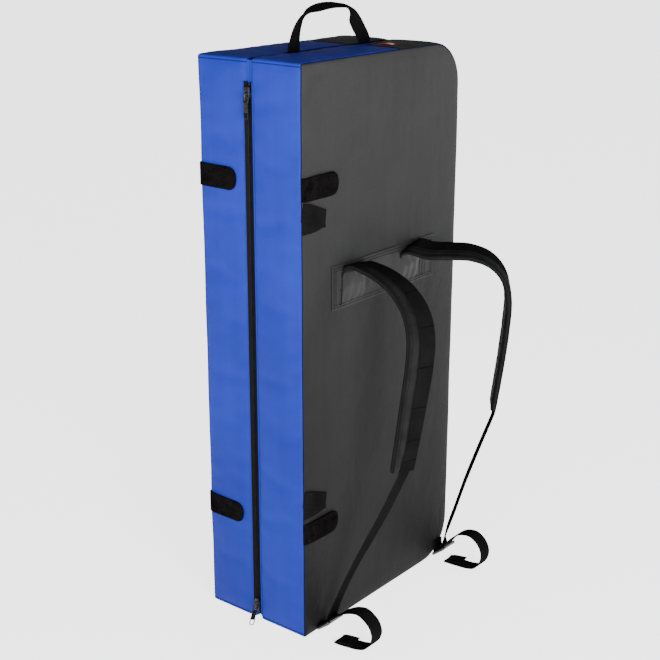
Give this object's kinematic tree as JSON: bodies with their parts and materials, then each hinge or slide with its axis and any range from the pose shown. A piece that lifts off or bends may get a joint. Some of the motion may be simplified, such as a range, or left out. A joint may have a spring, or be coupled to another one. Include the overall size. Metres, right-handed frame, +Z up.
{
  "type": "kick shield",
  "caption": "Folding foam kick shield of upholstered slabs joined like a book, zipped shut, with carry handle, hook tabs and padded shoulder straps.",
  "frame": {"origin": "on the ground at the middle of the closed pair of slabs", "axes": "+Z up along the slabs, +X towards the broad face with the shoulder straps, -Y towards the zip, +Y towards the fold"},
  "size_m": [0.3946, 0.4692, 1.0697],
  "materials": {
    "blue_fabric": "coated woven polyester, satin",
    "black_fabric": "coated woven polyester, satin",
    "foam": "open-cell foam block",
    "webbing": "flat woven polypropylene webbing",
    "hook_tape": "hook tape",
    "strap_fabric": "padded strap cover",
    "strap_lining": "knitted strap lining",
    "binding": "ribbed edge binding",
    "zip_tape": "woven zip tape",
    "zip_chain": "moulded coil teeth",
    "zip_metal": "dark nickel",
    "buckle_plastic": "moulded acetal, satin",
    "label": "plain woven label"
  },
  "bodies": {
    "right_slab": {"right_outer_face": "black_fabric", "right_landing_face": "black_fabric", "right_blue_wall": "blue_fabric", "right_black_wall": "black_fabric", "right_landing_foam": "foam", "right_foam_core": "foam", "right_outer_foam": "foam", "right_hinge_web": "webbing", "right_zip_tape": "zip_tape", "right_zip_chain": "zip_chain", "right_tab_roots": "hook_tape", "zip_top_stop": "zip_metal", "zip_bottom_stop": "zip_metal", "handle_feet": "webbing", "side_label": "label", "yoke_patch": "black_fabric", "strap_roots": "strap_fabric", "buckle_anchors": "webbing"},
    "left_slab": {"left_outer_face": "black_fabric", "left_landing_face": "black_fabric", "left_blue_wall": "blue_fabric", "left_black_wall": "black_fabric", "left_landing_foam": "foam", "left_foam_core": "foam", "left_outer_foam": "foam", "left_hinge_web": "webbing", "left_zip_tape": "zip_tape", "left_zip_chain": "zip_chain", "left_tab_roots": "hook_tape"},
    "top_slider": {"top_slider": "zip_metal"},
    "top_pull": {"top_pull": "zip_metal"},
    "bottom_slider": {"bottom_slider": "zip_metal"},
    "bottom_pull": {"bottom_pull": "zip_metal"},
    "carry_handle": {"carry_handle": "webbing"},
    "right_upper_tab": {"right_upper_tab": "hook_tape"},
    "right_upper_loop": {"right_upper_loop": "webbing"},
    "right_lower_tab": {"right_lower_tab": "hook_tape"},
    "right_lower_loop": {"right_lower_loop": "webbing"},
    "left_upper_tab": {"left_upper_tab": "hook_tape"},
    "left_upper_loop": {"left_upper_loop": "webbing"},
    "left_lower_tab": {"left_lower_tab": "hook_tape"},
    "left_lower_loop": {"left_lower_loop": "webbing"},
    "strap_front": {"strap_front_foam": "foam", "strap_front_outer": "strap_fabric", "strap_front_lining": "strap_lining", "strap_front_binding": "binding", "strap_front_pad_webbing": "webbing", "strap_front_lower_webbing": "webbing"},
    "buckle_front": {"buckle_front": "buckle_plastic"},
    "tail_front": {"tail_front": "webbing"},
    "strap_rear": {"strap_rear_foam": "foam", "strap_rear_outer": "strap_fabric", "strap_rear_lining": "strap_lining", "strap_rear_binding": "binding", "strap_rear_pad_webbing": "webbing", "strap_rear_lower_webbing": "webbing"},
    "buckle_rear": {"buckle_rear": "buckle_plastic"},
    "tail_rear": {"tail_rear": "webbing"}
  },
  "joints": [
    {"name": "fold", "type": "hinge", "parent": "right_slab", "child": "left_slab", "pos_m": [0, 0.2205, 0.5], "axis": [0, 0, -1], "range_deg": [0, 180]},
    {"name": "top_slider_travel", "type": "slide", "parent": "right_slab", "child": "top_slider", "axis": [0, 0, -1], "range_m": [0, 0.42]},
    {"name": "bottom_slider_travel", "type": "slide", "parent": "right_slab", "child": "bottom_slider", "axis": [0, 0, 1], "range_m": [0, 0.42]},
    {"name": "top_pull_swing", "type": "hinge", "parent": "top_slider", "child": "top_pull", "pos_m": [0, -0.2258, 0.9405], "axis": [-1, 0, 0], "range_deg": [0, 160]},
    {"name": "bottom_pull_swing", "type": "hinge", "parent": "bottom_slider", "child": "bottom_pull", "pos_m": [0, -0.2258, 0.0285], "axis": [-1, 0, 0], "range_deg": [0, 110]},
    {"name": "carry_handle_swing", "type": "hinge", "parent": "right_slab", "child": "carry_handle", "pos_m": [0, 0, 1.003], "axis": [0, 1, 0], "range_deg": [-60, 60]},
    {"name": "right_upper_tab_fold", "type": "hinge", "parent": "right_slab", "child": "right_upper_tab", "pos_m": [0.1118, -0.218, 0.803], "axis": [0, 0, -1], "range_deg": [0, 170]},
    {"name": "left_upper_tab_fold", "type": "hinge", "parent": "left_slab", "child": "left_upper_tab", "pos_m": [-0.109, -0.2218, 0.803], "axis": [0, 0, -1], "range_deg": [0, 170]},
    {"name": "right_lower_tab_fold", "type": "hinge", "parent": "right_slab", "child": "right_lower_tab", "pos_m": [0.1118, -0.218, 0.202], "axis": [0, 0, -1], "range_deg": [0, 170]},
    {"name": "left_lower_tab_fold", "type": "hinge", "parent": "left_slab", "child": "left_lower_tab", "pos_m": [-0.109, -0.2218, 0.202], "axis": [0, 0, -1], "range_deg": [0, 170]},
    {"name": "right_upper_loop_lift", "type": "hinge", "parent": "right_slab", "child": "right_upper_loop", "pos_m": [0.1114, -0.216, 0.756], "axis": [0, 0, -1], "range_deg": [0, 115]},
    {"name": "left_upper_loop_lift", "type": "hinge", "parent": "left_slab", "child": "left_upper_loop", "pos_m": [-0.1114, -0.216, 0.756], "axis": [0, 0, 1], "range_deg": [0, 115]},
    {"name": "right_lower_loop_lift", "type": "hinge", "parent": "right_slab", "child": "right_lower_loop", "pos_m": [0.1114, -0.216, 0.256], "axis": [0, 0, -1], "range_deg": [0, 115]},
    {"name": "left_lower_loop_lift", "type": "hinge", "parent": "left_slab", "child": "left_lower_loop", "pos_m": [-0.1114, -0.216, 0.256], "axis": [0, 0, 1], "range_deg": [0, 115]},
    {"name": "strap_front_swing", "type": "hinge", "parent": "right_slab", "child": "strap_front", "pos_m": [0.11, -0.092, 0.65], "axis": [0.0233, -0.1209, -0.9924], "range_deg": [-15, 15]},
    {"name": "buckle_front_lift", "type": "hinge", "parent": "right_slab", "child": "buckle_front", "pos_m": [0.116, -0.17, 0.008], "axis": [0, -1, 0], "range_deg": [0, 6]},
    {"name": "tail_front_turn", "type": "hinge", "parent": "buckle_front", "child": "tail_front", "pos_m": [0.14, -0.17, 0.028], "axis": [0, 0, 1], "range_deg": [-15, 15]},
    {"name": "strap_rear_swing", "type": "hinge", "parent": "right_slab", "child": "strap_rear", "pos_m": [0.11, 0.066, 0.652], "axis": [0.0229, 0.1866, -0.9822], "range_deg": [-8, 18]},
    {"name": "buckle_rear_lift", "type": "hinge", "parent": "right_slab", "child": "buckle_rear", "pos_m": [0.116, 0.188, 0.008], "axis": [0, -1, 0], "range_deg": [0, 6]},
    {"name": "tail_rear_turn", "type": "hinge", "parent": "buckle_rear", "child": "tail_rear", "pos_m": [0.14, 0.188, 0.028], "axis": [0, 0, 1], "range_deg": [-15, 15]}
  ]
}
